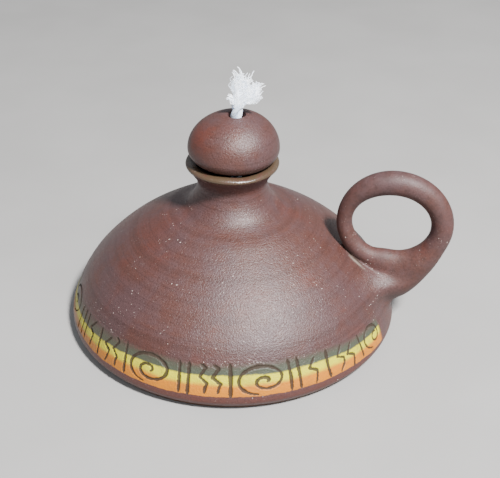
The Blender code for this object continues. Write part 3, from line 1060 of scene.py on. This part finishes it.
@dataclass
class Handle:
    """The ring handle and its root, smoothed onto the dome.

    Each form is a distance, and the skin runs where the joined distance is zero. A skirt carries it on just
    under the dome's skin, so that the fillets end without an edge.
    """

    reservoir: Reservoir
    ring_x: float = 0.0600
    ring_z: float = 0.04545
    half_width: float = 0.0179
    half_height: float = 0.01665
    rolls: tuple = (0.0041, 0.0045, 0.0029, 0.0037)
    hold: float = 0.75
    root_z: float = 0.0172
    root_roll: float = 0.0060
    join_deg: float = -18.0
    join_share: float = 0.93
    leave: float = 0.0100
    arrive: float = 0.0080
    taper: float = 1.5
    web_deg: float = 256.0
    web_to_root: float = 0.28
    web_sizes: tuple = (0.0086, 0.0028, 0.0060)
    root_start: float = 0.0058
    root_sunk: float = 0.0010
    cell: float = 0.00055
    grid_low: tuple = (0.0345, -0.0205, 0.0012)
    grid_high: tuple = (0.0845, 0.0205, 0.0685)
    fillet: float = 0.0160
    low_fillet: float = 0.0055
    fillet_heights: tuple = (0.0140, 0.0230)
    web_fillet: float = 0.0020
    ring_fillet: float = 0.0042
    crease: float = 0.0006
    merge_x: tuple = (0.0495, 0.0590)
    merge_away: tuple = (0.0050, 0.0150)
    skirt: float = 0.0150
    skirt_depth: float = 0.0034
    skirt_edges: tuple = (0.0352, 0.0199, 0.0020)
    band_edge: float = 0.0172
    band_heights: tuple = (0.0180, 0.0215)
    under: float = 0.00002
    sink: float = 0.00016
    matt_reach: tuple = (0.0040, 0.0002)
    joint_heights: tuple = (0.0022, 0.0004)
    # painted highlight: a pale line along the burr beside the crease, on the dome's side
    pale: tuple = ((0.0011, 0.0005), (0.0440, 0.0470), (0.0560, 0.0500))
    # painted shade: a dark line in the crease between the ring and the dome
    crevice_shade: tuple = ((-0.0002, 0.0008), (0.0380, 0.0400), (0.0525, 0.0490))

    def ring_point(self, degrees: np.ndarray) -> np.ndarray:
        """Points on the ring's middle line.

        Args:
            degrees: The places on the ring, as angles from its outermost point.

        Returns:
            The points, one a row.
        """
        angle = np.radians(degrees)
        x = self.ring_x + self.half_width * np.cos(angle)
        z = self.ring_z + self.half_height * np.sin(angle)
        return np.stack([x, 0.0 * angle, z], axis=-1)

    def ring_roll(self, degrees: float) -> float:
        """The roll's radius at a place on the ring.

        Args:
            degrees: The place, as an angle from the ring's outermost point.

        Returns:
            The radius, eased between those of the four quarters.
        """
        quarter, part = divmod((degrees % 360.0) / 90.0, 1.0)
        ease = 0.5 - 0.5 * math.cos(math.pi * part ** (self.hold if quarter == 2 else 1.0))
        first, second = self.rolls[int(quarter) % 4], self.rolls[(int(quarter) + 1) % 4]
        return first + (second - first) * ease

    def __post_init__(self) -> None:
        """Works out the paths of the ring and the root, and the dome's outline."""
        outline = self.reservoir.outer(8)
        self.outline = outline
        degrees = np.linspace(0.0, 360.0, 73)
        self.ring_path = self.ring_point(degrees)
        self.ring_rolls = np.array([self.ring_roll(d) for d in degrees])
        row = int(np.abs(outline[:, 1] - self.root_z).argmin())
        along = outline[row + 1] - outline[row - 1]
        along /= np.linalg.norm(along)
        base = np.array([np.interp(self.root_z, outline[:, 1], outline[:, 0]), 0.0, self.root_z])
        out = np.array([along[1], 0.0, -along[0]])
        end = self.ring_point(np.array(self.join_deg))
        angle = math.radians(self.join_deg)
        arrive = np.array([-self.half_width * math.sin(angle), 0.0, self.half_height * math.cos(angle)])
        arrive /= np.linalg.norm(arrive)
        t = np.linspace(0.0, 1.0, 15)[:, None]
        start = base + out * self.root_start
        leave = base + out * self.leave
        near = end - arrive * self.arrive
        bend = start * (1 - t) ** 3 + leave * 3 * (1 - t) ** 2 * t + near * 3 * (1 - t) * t**2 + end * t**3
        self.root_path = np.concatenate([[base - out * self.root_sunk], bend])
        last = self.ring_roll(self.join_deg) * self.join_share
        thinning = (last - self.root_roll) * t[:, 0] ** self.taper
        self.root_rolls = np.concatenate([[self.root_roll], self.root_roll + thinning])
        web = self.ring_point(np.array(self.web_deg))
        self.web = web + (base - web) * self.web_to_root

    def dome(self, points: np.ndarray) -> np.ndarray:
        """Distances to the dome's outside.

        Args:
            points: The points, one a row.

        Returns:
            The distances, below zero inside the dome.
        """
        radius = np.hypot(points[:, 0], points[:, 1])
        flat = np.stack([radius, points[:, 2]], axis=1)
        away = distance_to_path(flat, self.outline, np.zeros(len(self.outline)))
        inside = radius < np.interp(points[:, 2], self.outline[:, 1], self.outline[:, 0])
        return np.where(inside, -away, away)

    def parts(self, points: np.ndarray) -> tuple[np.ndarray, np.ndarray, np.ndarray]:
        """Distances to the handle's parts.

        Args:
            points: The points, one a row.

        Returns:
            The distances to the ring, to the root and to the web under the ring.
        """
        ring = distance_to_path(points, self.ring_path, self.ring_rolls)
        root = distance_to_path(points, self.root_path, self.root_rolls)
        sizes = np.array(self.web_sizes)
        web = (np.linalg.norm((points - self.web) / sizes, axis=1) - 1.0) * sizes[1]
        return ring, root, web

    def skin(self, points: np.ndarray) -> np.ndarray:
        """Distances to the piece: the handle, its fillets and a skirt just under the dome's skin.

        The skirt is cut short beside the band, so that it doesn't show in the scratches.

        Args:
            points: The points, one a row.

        Returns:
            The distances, below zero inside the piece.
        """
        x, y, z = points.T
        dome = self.dome(points)
        ring, root, web = self.parts(points)
        whole = np.minimum(np.minimum(ring, root), web)
        sunk = dome + self.under + self.sink * eased(whole, 0.6 * self.skirt, self.skirt)
        root_reach = self.low_fillet + (self.fillet - self.low_fillet) * eased(z, *self.fillet_heights)
        base = blended(sunk, root, root_reach)
        base = blended(base, web, self.web_fillet)
        away = np.linalg.norm(points - self.root_path[-1], axis=1)
        merged = eased(x, *self.merge_x) * eased(away, *self.merge_away)
        skin = blended(base, ring, self.crease + (self.ring_fillet - self.crease) * merged)
        edge_x, wide_y, edge_z = self.skirt_edges
        edge_y = self.band_edge + (wide_y - self.band_edge) * eased(z, *self.band_heights)
        aside = np.maximum(edge_x - x, np.abs(y) - edge_y)
        below = np.maximum(edge_z - z, -dome - self.skirt_depth)
        return np.maximum(np.maximum(skin, whole - self.skirt), np.maximum(aside, below))

    def net(self) -> tuple[np.ndarray, np.ndarray]:
        """The skin as a net over a grid of cells, with one point in each cell that it runs through.

        Returns:
            The points, one a row, and the faces, as rows of four point numbers.
        """
        low, high = np.array(self.grid_low), np.array(self.grid_high)
        counts = np.ceil((high - low) / self.cell).astype(int) + 1
        axes = [low[k] + self.cell * np.arange(counts[k]) for k in range(3)]
        grid = np.stack(np.meshgrid(*axes, indexing="ij"), axis=-1).reshape(-1, 3)
        values = np.concatenate([self.skin(part) for part in np.array_split(grid, 24)]).reshape(counts)
        inside = values < 0.0
        size = counts - 1
        total, hits = np.zeros((*size, 3)), np.zeros(tuple(size))
        corners = [(i, j, k) for i in (0, 1) for j in (0, 1) for k in (0, 1)]

        def corner(array: np.ndarray, c: tuple) -> np.ndarray:
            """The values at one corner of every cell."""
            return array[c[0] : c[0] + size[0], c[1] : c[1] + size[1], c[2] : c[2] + size[2]]

        for a in corners:
            for axis in range(3):
                if a[axis] == 0:
                    b = tuple(v + (1 if k == axis else 0) for k, v in enumerate(a))
                    first, second = corner(values, a), corner(values, b)
                    crossed = corner(inside, a) != corner(inside, b)
                    share = np.where(crossed, first / np.where(crossed, first - second, 1.0), 0.0)
                    for k in range(3):
                        total[..., k] += crossed * (a[k] + (share if k == axis else 0.0))
                    hits += crossed
        active = hits > 0
        number = np.full(active.shape, -1)
        number[active] = np.arange(active.sum())
        verts = low + self.cell * (np.argwhere(active) + total[active] / hits[active][:, None])
        faces = []
        for axis in range(3):
            first = np.moveaxis(inside, axis, 0)
            ids = np.moveaxis(number, axis, 0)
            i, j, k = np.nonzero(first[:-1, 1:-1, 1:-1] != first[1:, 1:-1, 1:-1])
            around = [ids[i, j, k], ids[i, j + 1, k], ids[i, j + 1, k + 1], ids[i, j, k + 1]]
            faces.append(np.stack(around, axis=1))
        return verts, np.concatenate(faces)

    def build(self, clay: bpy.types.Material) -> bpy.types.Object:
        """Builds and dresses the handle.

        Args:
            clay: Its finish.

        Returns:
            The piece.
        """
        verts, faces = self.net()
        nudge = 0.25 * self.cell
        for _ in range(2):
            value = self.skin(verts)
            rises = [self.skin(verts + e) - self.skin(verts - e) for e in np.eye(3) * nudge]
            slope = np.stack(rises, axis=1) / (2.0 * nudge)
            step = value[:, None] * slope / np.maximum((slope**2).sum(1), 0.25)[:, None]
            verts = verts - np.clip(step, -self.cell, self.cell)
        pale, crevice_shade = self.burrs(verts)
        matt = eased(np.minimum(*self.parts(verts)[:2]), *self.matt_reach)
        # the crease's painted shade goes in the same attribute as the band's scratches
        marks = {"burr": pale, "scratch_and_crease_shade": crevice_shade, "matt": matt, "band_level": np.full(len(verts), 2.0)}
        piece = new_piece("handle", verts, faces.tolist(), clay, marks)
        return settle(piece, "stoneware", "lamp_body")

    def burrs(self, verts: np.ndarray) -> tuple[np.ndarray, np.ndarray]:
        """The marks where the ring was pressed onto the dome: a pale line along a burr, painted as a highlight,
        and a dark line in the crease, painted as shade.

        Args:
            verts: The points, one a row.

        Returns:
            The share of the painted highlight on the burr and the share of the painted shade in the crease at
            the points.
        """
        ring, dome = self.parts(verts)[0], self.dome(verts)
        shares = []
        for (middle, spread), start, end in (self.pale, self.crevice_shade):
            line = np.exp(-(((ring - dome - middle) / spread) ** 2)) * eased(dome, *self.joint_heights)
            shares.append(line * eased(verts[:, 0], *start) * eased(verts[:, 0], *end))
        return shares[0], shares[1]


@dataclass
class Stopper:
    """The ball stopper with the wick's bore."""

    radius: float = 0.0168
    crown: float = 0.0134
    base: float = 0.0080
    flat_r: float = 0.0062
    offset: float = 0.0005
    bore_offset: float = 0.0011
    mouth_r: float = 0.0040
    mouth_depth: float = 0.0030
    bore_r: float = 0.00255
    arris: float = 0.0007
    oval: float = 0.004
    ripple: float = 0.003
    ripple_rate: float = 700.0
    segments: int = 128

    def flat_z(self) -> float:
        """The height of the flat underneath, from the ball's widest level."""
        return -self.base * math.sqrt(1.0 - (self.flat_r / self.radius) ** 2)

    def level(self) -> float:
        """The height of the ball's widest level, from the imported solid, whose lowest point is on its flat."""
        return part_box("stopper")[0].z - self.flat_z()

    def bore_x(self) -> float:
        """Where the bore's axis stands, along X."""
        return self.offset + self.bore_offset

    def build(self, clay: bpy.types.Material) -> bpy.types.Object:
        """Builds and dresses the stopper.

        Args:
            clay: Its finish.

        Returns:
            The piece.
        """
        flat_z = self.flat_z()
        flat_deg = math.degrees(math.atan2(flat_z / self.base, self.flat_r / self.radius))
        mouth_deg = math.degrees(math.acos(self.mouth_r / self.radius))
        low = arc((0.0, 0.0), self.radius, self.base, flat_deg, 0.0, 22)
        high = arc((0.0, 0.0), self.radius, self.crown, 0.0, mouth_deg, 40)
        top = high[-1, 1]
        mouth = smooth(
            [
                (self.mouth_r, top),
                (self.mouth_r - self.arris, top - 0.3 * self.arris),
                (self.bore_r + 0.5 * self.arris, top - 0.6 * self.mouth_depth),
                (self.bore_r, top - self.mouth_depth),
            ],
            5,
        )
        depths = np.linspace(top - self.mouth_depth, flat_z + self.arris, 10)[1:]
        bore = np.stack([np.full(len(depths), self.bore_r), depths], axis=1)
        corner = (self.bore_r + self.arris, flat_z + self.arris)
        under = arc(corner, self.arris, self.arris, 180.0, 270.0, 4)[1:]
        outline = np.concatenate([low, high[1:-1], mouth, bore, under])
        rows = Rows()
        angles = np.linspace(0.0, 2.0 * math.pi, self.segments, endpoint=False)
        for r, z in outline:
            uneven = 1.0 + self.oval * np.sin(2.0 * angles + 0.6) * eased(np.array(r), 0.006, 0.012)
            uneven = uneven - self.ripple * math.sin(z * self.ripple_rate)
            rows.ring(r * np.minimum(uneven, 1.0), z, angles)
        rows.rings.append(rows.rings[0])
        rows.sew()
        verts = np.concatenate(rows.verts)
        reach = np.hypot(verts[:, 0], verts[:, 1])
        outwards = np.maximum(reach - self.mouth_r, 0.0) / (self.radius - self.mouth_r)
        share = np.clip(1.0 - outwards, 0.0, 1.0)
        verts[:, 0] += self.bore_offset * share + self.offset
        verts[:, 2] += self.level()
        marks = {"band_level": np.full(len(verts), 2.0)}
        piece = new_piece("ball_stopper", verts, rows.faces, clay, marks)
        return settle(piece, "stoneware_ball", "stopper")


class Tree:
    """A Geometry Nodes tree under construction, with named inputs."""

    def __init__(self, name: str) -> None:
        """Makes an empty tree with a geometry input and output.

        Args:
            name: The tree's name.
        """
        self.tree = bpy.data.node_groups.new(name, "GeometryNodeTree")
        self.tree.interface.new_socket("Geometry", in_out="INPUT", socket_type="NodeSocketGeometry")
        self.tree.interface.new_socket("Geometry", in_out="OUTPUT", socket_type="NodeSocketGeometry")
        self.start = self.tree.nodes.new("NodeGroupInput")
        self.end = self.tree.nodes.new("NodeGroupOutput")
        self.values: dict = {}

    def size(self, name: str, value: object) -> Socket:
        """Adds a named input.

        Args:
            name: The input's name.
            value: Its value, a whole number or a length.

        Returns:
            The input's socket, wrapped.
        """
        kind = "NodeSocketInt" if isinstance(value, int) else "NodeSocketFloat"
        made = self.tree.interface.new_socket(name, in_out="INPUT", socket_type=kind)
        self.values[made.identifier] = value
        return Socket(self.tree, self.start.outputs[name])

    def add(self, kind: str, settings: dict | None = None, values: dict | None = None) -> bpy.types.Node:
        """Adds a node."""
        return add_node(self.tree, kind, settings, values)

    def field(self, kind: str, out: int | str = 0) -> Socket:
        """Adds a node without values and wraps one of its outputs."""
        return Socket(self.tree, self.add(kind).outputs[out])

    def random(self, low: float, high: float, identity: Socket, seed: object) -> Socket:
        """A random number for each identity.

        Args:
            low: The least that it may be.
            high: The most that it may be.
            identity: A whole number that points with the same result share.
            seed: The seed.

        Returns:
            The number.
        """
        node = self.add("FunctionNodeRandomValue", {"data_type": "FLOAT"})
        for name, value in (("Min", low), ("Max", high), ("ID", identity), ("Seed", seed)):
            slot = next(s for s in node.inputs if s.name == name and s.enabled)
            join(self.tree, slot, value)
        return Socket(self.tree, next(s for s in node.outputs if s.enabled))

    def vector(self, x: object, y: object, z: object) -> bpy.types.NodeSocket:
        """A vector from its parts."""
        return self.add("ShaderNodeCombineXYZ", values={0: x, 1: y, 2: z}).outputs[0]

    def vector_maths(self, operation: str, first: object, second: object) -> bpy.types.NodeSocket:
        """A Vector Math node's result; the second value of SCALE is a number."""
        values = {0: first, "Scale" if operation == "SCALE" else 1: second}
        return self.add("ShaderNodeVectorMath", {"operation": operation}, values).outputs[0]

    def apply(
        self, name: str, source: bpy.types.ID, geometry: bpy.types.NodeSocket, finish: bpy.types.Material
    ) -> bpy.types.Object:
        """Closes the tree and turns its result into a plain mesh.

        Args:
            name: The piece's name.
            source: The mesh or curve that the tree starts from.
            geometry: The tree's last geometry.
            finish: The piece's material.

        Returns:
            The piece.
        """
        real = self.add("GeometryNodeRealizeInstances", values={0: geometry})
        values = {"Geometry": real.outputs[0], "Material": finish}
        dressed = self.add("GeometryNodeSetMaterial", values=values)
        self.tree.links.new(dressed.outputs[0], self.end.inputs[0])
        carrier = bpy.data.objects.new(name + "_source", source)
        bpy.context.scene.collection.objects.link(carrier)
        modifier = carrier.modifiers.new(name, "NODES")
        modifier.node_group = self.tree
        for identifier, value in self.values.items():
            modifier[identifier] = value
        graph = bpy.context.evaluated_depsgraph_get()
        mesh = bpy.data.meshes.new_from_object(carrier.evaluated_get(graph), depsgraph=graph)
        bpy.data.objects.remove(carrier)
        mesh.name = name
        mesh.shade_smooth()
        piece = bpy.data.objects.new(name, mesh)
        bpy.context.scene.collection.objects.link(piece)
        return piece


@dataclass
class Wick:
    """The twisted cotton wick, from the foot of its frayed end down to its tail on the reservoir's floor."""

    stopper: Stopper
    radius: float = 0.0022
    gap: float = 0.00035
    stalk: float = 0.0042
    lean: float = 0.0006
    floor: float = 0.0045
    tail_bend: float = 0.0090
    tail_drop: float = 0.0014
    tail: tuple = ((0.0050, -0.0030), (0.0130, -0.0075), (0.0225, -0.0085), (0.0310, -0.0040))
    strands: int = 3
    twist: float = 0.0150
    stations: int = 340
    strand_sides: int = 12
    length: float = 0.1130

    def route(self) -> list:
        """The points that the wick runs through.

        Returns:
            The points, from the top down.
        """
        x = self.stopper.bore_x()
        level = self.stopper.level()
        low, crown = level - self.stopper.base, level + self.stopper.crown
        rest = self.floor + self.radius + self.gap
        first, *others = self.tail
        route = [(x + self.lean, 0.0, crown + self.stalk), (x, 0.0, crown), (x, 0.0, level), (x, 0.0, low)]
        route += [(x, 0.0, 0.5 * (low + rest)), (x, 0.0, rest + self.tail_bend)]
        route.append((x + first[0], first[1], rest + self.tail_drop))
        return route + [(x + a, b, rest) for a, b in others]

    def centre_line(self) -> np.ndarray:
        """The wick's middle line."""
        return smooth(self.route(), 10)

    def build(self, cotton: bpy.types.Material, others: list) -> bpy.types.Object:
        """Args:
            cotton: Its finish.
            others: Not used.

        Returns:
            The piece.
        """
        line = self.centre_line()
        source = bpy.data.curves.new("wick_line", "CURVE")
        source.dimensions = "3D"
        spline = source.splines.new("POLY")
        spline.points.add(len(line) - 1)
        spline.points.foreach_set("co", np.concatenate([line, np.ones((len(line), 1))], axis=1).ravel())
        tree = Tree("twisted_strands")
        strands = tree.size("Strands", self.strands)
        turn = tree.size("Turn length", self.twist)
        single_r = self.radius / (1.0 + 2.0 / math.sqrt(3.0))
        strand_r = tree.size("Strand radius", single_r)
        offset = tree.size("Strand offset", self.radius - single_r)
        values = {"Curve": tree.start.outputs[0], "Count": self.stations}
        fine = tree.add("GeometryNodeResampleCurve", values=values)
        values = {"Geometry": fine.outputs[0], "Amount": strands}
        copies = tree.add("GeometryNodeDuplicateElements", {"domain": "SPLINE"}, values)
        walk = tree.field("GeometryNodeSplineParameter", "Length")
        phase = Socket(tree.tree, copies.outputs["Duplicate Index"]) / strands
        angle = (walk / turn + phase) * (2.0 * math.pi)
        normal = tree.add("GeometryNodeInputNormal").outputs[0]
        tangent = tree.add("GeometryNodeInputTangent").outputs[0]
        across = tree.vector_maths("CROSS_PRODUCT", tangent, normal)
        one = tree.vector_maths("SCALE", normal, angle.cosine() * offset)
        two = tree.vector_maths("SCALE", across, angle.sine() * offset)
        values = {"Geometry": copies.outputs[0], "Offset": tree.vector_maths("ADD", one, two)}
        moved = tree.add("GeometryNodeSetPosition", values=values)
        values = {"Resolution": self.strand_sides, "Radius": strand_r}
        profile = tree.add("GeometryNodeCurvePrimitiveCircle", {"mode": "RADIUS"}, values)
        values = {"Curve": moved.outputs[0], "Profile Curve": profile.outputs[0], "Fill Caps": True}
        tube = tree.add("GeometryNodeCurveToMesh", values=values)
        piece = tree.apply("wick_strands", source, tube.outputs[0], cotton)
        settle(piece, "wick_cotton", "wick")
        self.stopper.bore_x()
        self.stopper.level() + self.stopper.crown
        return piece


@dataclass
class Fray:
    """The wick's frayed end: locks of thread that come apart and fall to one side."""

    wick: Wick
    locks: int = 15
    threads: int = 16
    points: int = 14
    rise: float = 0.0144
    reach: float = 0.0102
    first_lean: float = -0.27
    last_lean: float = 1.22
    clump: float = 0.00058
    depth: float = 0.0030
    curl: float = 0.00070
    kink: float = 0.00095
    scatter: float = 0.10
    stray_lean: float = 0.8
    stray_short: float = 0.70
    sunk: float = 0.0016
    thread_r: float = 0.00025
    thread_sides: int = 5
    seed: int = 11

    def build(self, cotton: bpy.types.Material) -> bpy.types.Object:
        """Builds and dresses the frayed end.

        Args:
            cotton: Its finish.

        Returns:
            The piece.
        """
        base = Vector(self.wick.route()[0])
        source = bpy.data.meshes.new("fray_line")
        source.from_pydata([tuple(base)], [], [])
        tree = Tree("frayed_threads")
        locks = tree.size("Locks", self.locks)
        threads = tree.size("Threads a lock", self.threads)
        count = tree.size("Points a thread", self.points)
        rise = tree.size("Rise", self.rise)
        reach = tree.size("Reach", self.reach)
        clump = tree.size("Clump", self.clump)
        depth = tree.size("Depth", self.depth)
        curl_r = tree.size("Curl", self.curl)
        thread_r = tree.size("Thread radius", self.thread_r)
        seed = tree.size("Seed", self.seed)
        values = {"Count": locks * threads * count, "Radius": thread_r}
        dots = tree.add("GeometryNodePoints", values=values)
        index = tree.field("GeometryNodeInputIndex")
        thread = (index / count + 0.001).rounded_down()
        lock = (thread / threads + 0.001).rounded_down()
        t = (index - thread * count) / (count - 1.0)
        q = lock / (locks - 1.0)

        stray = q.step(0.05, 0.01)
        lean = q * (self.last_lean - self.first_lean) + self.first_lean
        lean = lean + tree.random(-self.scatter, self.scatter, lock, seed) - stray * self.stray_lean
        length = rise + (reach - rise) * (q * 1.3).least(1.0)
        length = length * tree.random(0.64, 1.08, lock, seed + 1) * (1.0 - stray * self.stray_short)
        length = length * tree.random(0.72, 1.04, thread, seed + 2)
        bend = lean * (t * 1.7).least(1.0) ** 0.7
        bend = bend + tree.random(-self.scatter, self.scatter, thread, seed + 3) * t
        kink = t * tree.random(7.0, 11.0, lock, seed + 9) + tree.random(0.0, 6.28, lock, seed + 10)
        kink = kink.sine() * self.kink
        side = tree.random(-1.0, 1.0, lock, seed + 4) * depth * t
        phase = tree.random(0.0, 6.28, thread, seed + 5) + t * tree.random(4.0, 9.0, thread, seed + 6)
        around = tree.random(0.0, 6.2832, thread, seed + 7)
        spread = tree.random(0.0, 1.0, thread, seed + 8) ** 0.5
        out = spread * (clump * (0.75 + t * 0.6))
        root_turn = lock * (2.0 * math.pi * 0.382)
        root = self.wick.radius * 0.66 * (1.0 - t * t)
        waved = curl_r * t
        x = root_turn.cosine() * root + bend.sine() * length * t + around.cosine() * out
        x = x + phase.cosine() * waved + bend.cosine() * kink * t
        y = root_turn.sine() * root + side + around.sine() * out + phase.sine() * waved
        z = bend.cosine() * length * t + phase.sine() * waved * 0.7
        z = z - bend.sine() * kink * t - (1.0 - t) * self.sunk
        placed = tree.vector(x + base.x, y + base.y, z + base.z)
        values = {"Geometry": dots.outputs[0], "Position": placed}
        moved = tree.add("GeometryNodeSetPosition", values=values)
        values = {"Points": moved.outputs[0], "Curve Group ID": thread, "Weight": t}
        grouped = tree.add("GeometryNodePointsToCurves", values=values)
        taper = tree.field("GeometryNodeSplineParameter", "Factor")
        values = {"Resolution": self.thread_sides, "Radius": 1.0}
        profile = tree.add("GeometryNodeCurvePrimitiveCircle", {"mode": "RADIUS"}, values)
        values = {"Curve": grouped.outputs[0], "Profile Curve": profile.outputs[0], "Fill Caps": True}
        values |= {"Scale": (1.15 - taper * 0.5) * thread_r}
        tube = tree.add("GeometryNodeCurveToMesh", values=values)
        piece = tree.apply("wick_fray", source, tube.outputs[0], cotton)
        return settle(piece, "wick_cotton", "wick_tuft")


@dataclass(frozen=True)
class Light:
    """A square light: its name, place, side, power in watts and colour."""

    name: str
    place: tuple
    side: float
    power: float
    colour: tuple

    def hang(self, target: tuple) -> None:
        """Hangs the light so that it faces a point.

        Args:
            target: The point.
        """
        data = bpy.data.lights.new(self.name, "AREA")
        data.size = self.side
        data.energy = self.power
        data.color = self.colour
        lamp = bpy.data.objects.new(self.name, data)
        lamp.location = self.place
        lamp.rotation_mode = "QUATERNION"
        lamp.rotation_quaternion = (Vector(target) - Vector(self.place)).to_track_quat("-Z", "Y")
        bpy.context.scene.collection.objects.link(lamp)


@dataclass
class Studio:
    """The camera, the floor and the lights."""

    elevation: float = 31.79
    roll: float = 0.30
    turn: float = 10.0
    distance: float = 0.4001
    right: float = -0.00672
    up: float = -0.0270
    lens: float = 72.0
    floor_half: float = 20.0
    floor_drop: float = 0.00015
    target: tuple = (0.0, 0.0, 0.035)
    key: Light = Light("key", (0.44, -0.44, 0.88), 0.14, 45.0, (1.0, 0.98, 0.98))
    front: Light = Light("front", (0.10, -1.00, 0.75), 0.70, 3.5, (0.90, 0.94, 1.0))
    sky: tuple = (0.89, 0.93, 1.0, 1.0)
    sky_strength: float = 0.46

    def camera(self) -> None:
        """Places the camera."""
        tilt, lean = math.radians(self.elevation), math.radians(self.roll)
        forward = Vector((0.0, math.cos(tilt), -math.sin(tilt)))
        level = Vector((1.0, 0.0, 0.0))
        rising = level.cross(forward)
        right = level * math.cos(lean) + rising * math.sin(lean)
        up = rising * math.cos(lean) - level * math.sin(lean)
        place = -forward * self.distance - right * self.right - up * self.up
        turn = Matrix.Rotation(math.radians(self.turn), 3, "Z")
        data = bpy.data.cameras.new("camera")
        data.lens = self.lens
        data.sensor_width = 36.0
        data.clip_start = 0.01
        camera = bpy.data.objects.new("camera", data)
        matrix = Matrix((turn @ right, turn @ up, -(turn @ forward))).transposed().to_4x4()
        matrix.translation = turn @ place
        camera.matrix_world = matrix
        bpy.context.scene.collection.objects.link(camera)
        bpy.context.scene.camera = camera

    def floor(self) -> None:
        """Lays the floor."""
        half = self.floor_half
        corners = [(-half, -half), (half, -half), (half, half), (-half, half)]
        mesh = bpy.data.meshes.new("floor")
        mesh.from_pydata([(x, y, -self.floor_drop) for x, y in corners], [], [(0, 1, 2, 3)])
        mesh.materials.append(Ground().make())
        floor = bpy.data.objects.new("floor", mesh)
        bpy.context.scene.collection.objects.link(floor)

    def lights(self) -> None:
        """Hangs the lights and sets the sky."""
        for light in (self.key, self.front):
            light.hang(self.target)
        world = bpy.data.worlds.new("sky")
        world.use_nodes = True
        background = world.node_tree.nodes["Background"]
        background.inputs[0].default_value = self.sky
        background.inputs[1].default_value = self.sky_strength
        bpy.context.scene.world = world


def main() -> None:
    """Builds the whole scene in order."""
    logging.basicConfig(level=logging.INFO, format="%(message)s")
    studio = Studio()
    studio.camera()
    cotton = Cotton().make()
    # the frayed end gets a painted glow, an emission that brightens its white threads
    fluff = Cotton("frayed_cotton", (1.0, 1.0, 1.0), (0.50, 0.60, 0.80), painted_glow=0.60).make()
    stopper = Stopper()
    wick = Wick(stopper)
    fray = Fray(wick).build(fluff)
    wick.build(cotton, [fray])
    clay = Clay().make()
    ball_clay = Clay(
        "stoneware_ball",
        rust_place=(-11.0, -9.0, 78.0),
        rust_reach=7.0,
        rust_share=0.25,
        speck_share=0.0,
        turning=0.04,
    ).make()
    reservoir = Reservoir()
    reservoir.build(clay)
    Handle(reservoir).build(clay)
    stopper.build(ball_clay)
    studio.floor()
    studio.lights()


if __name__ == "__main__":
    main()
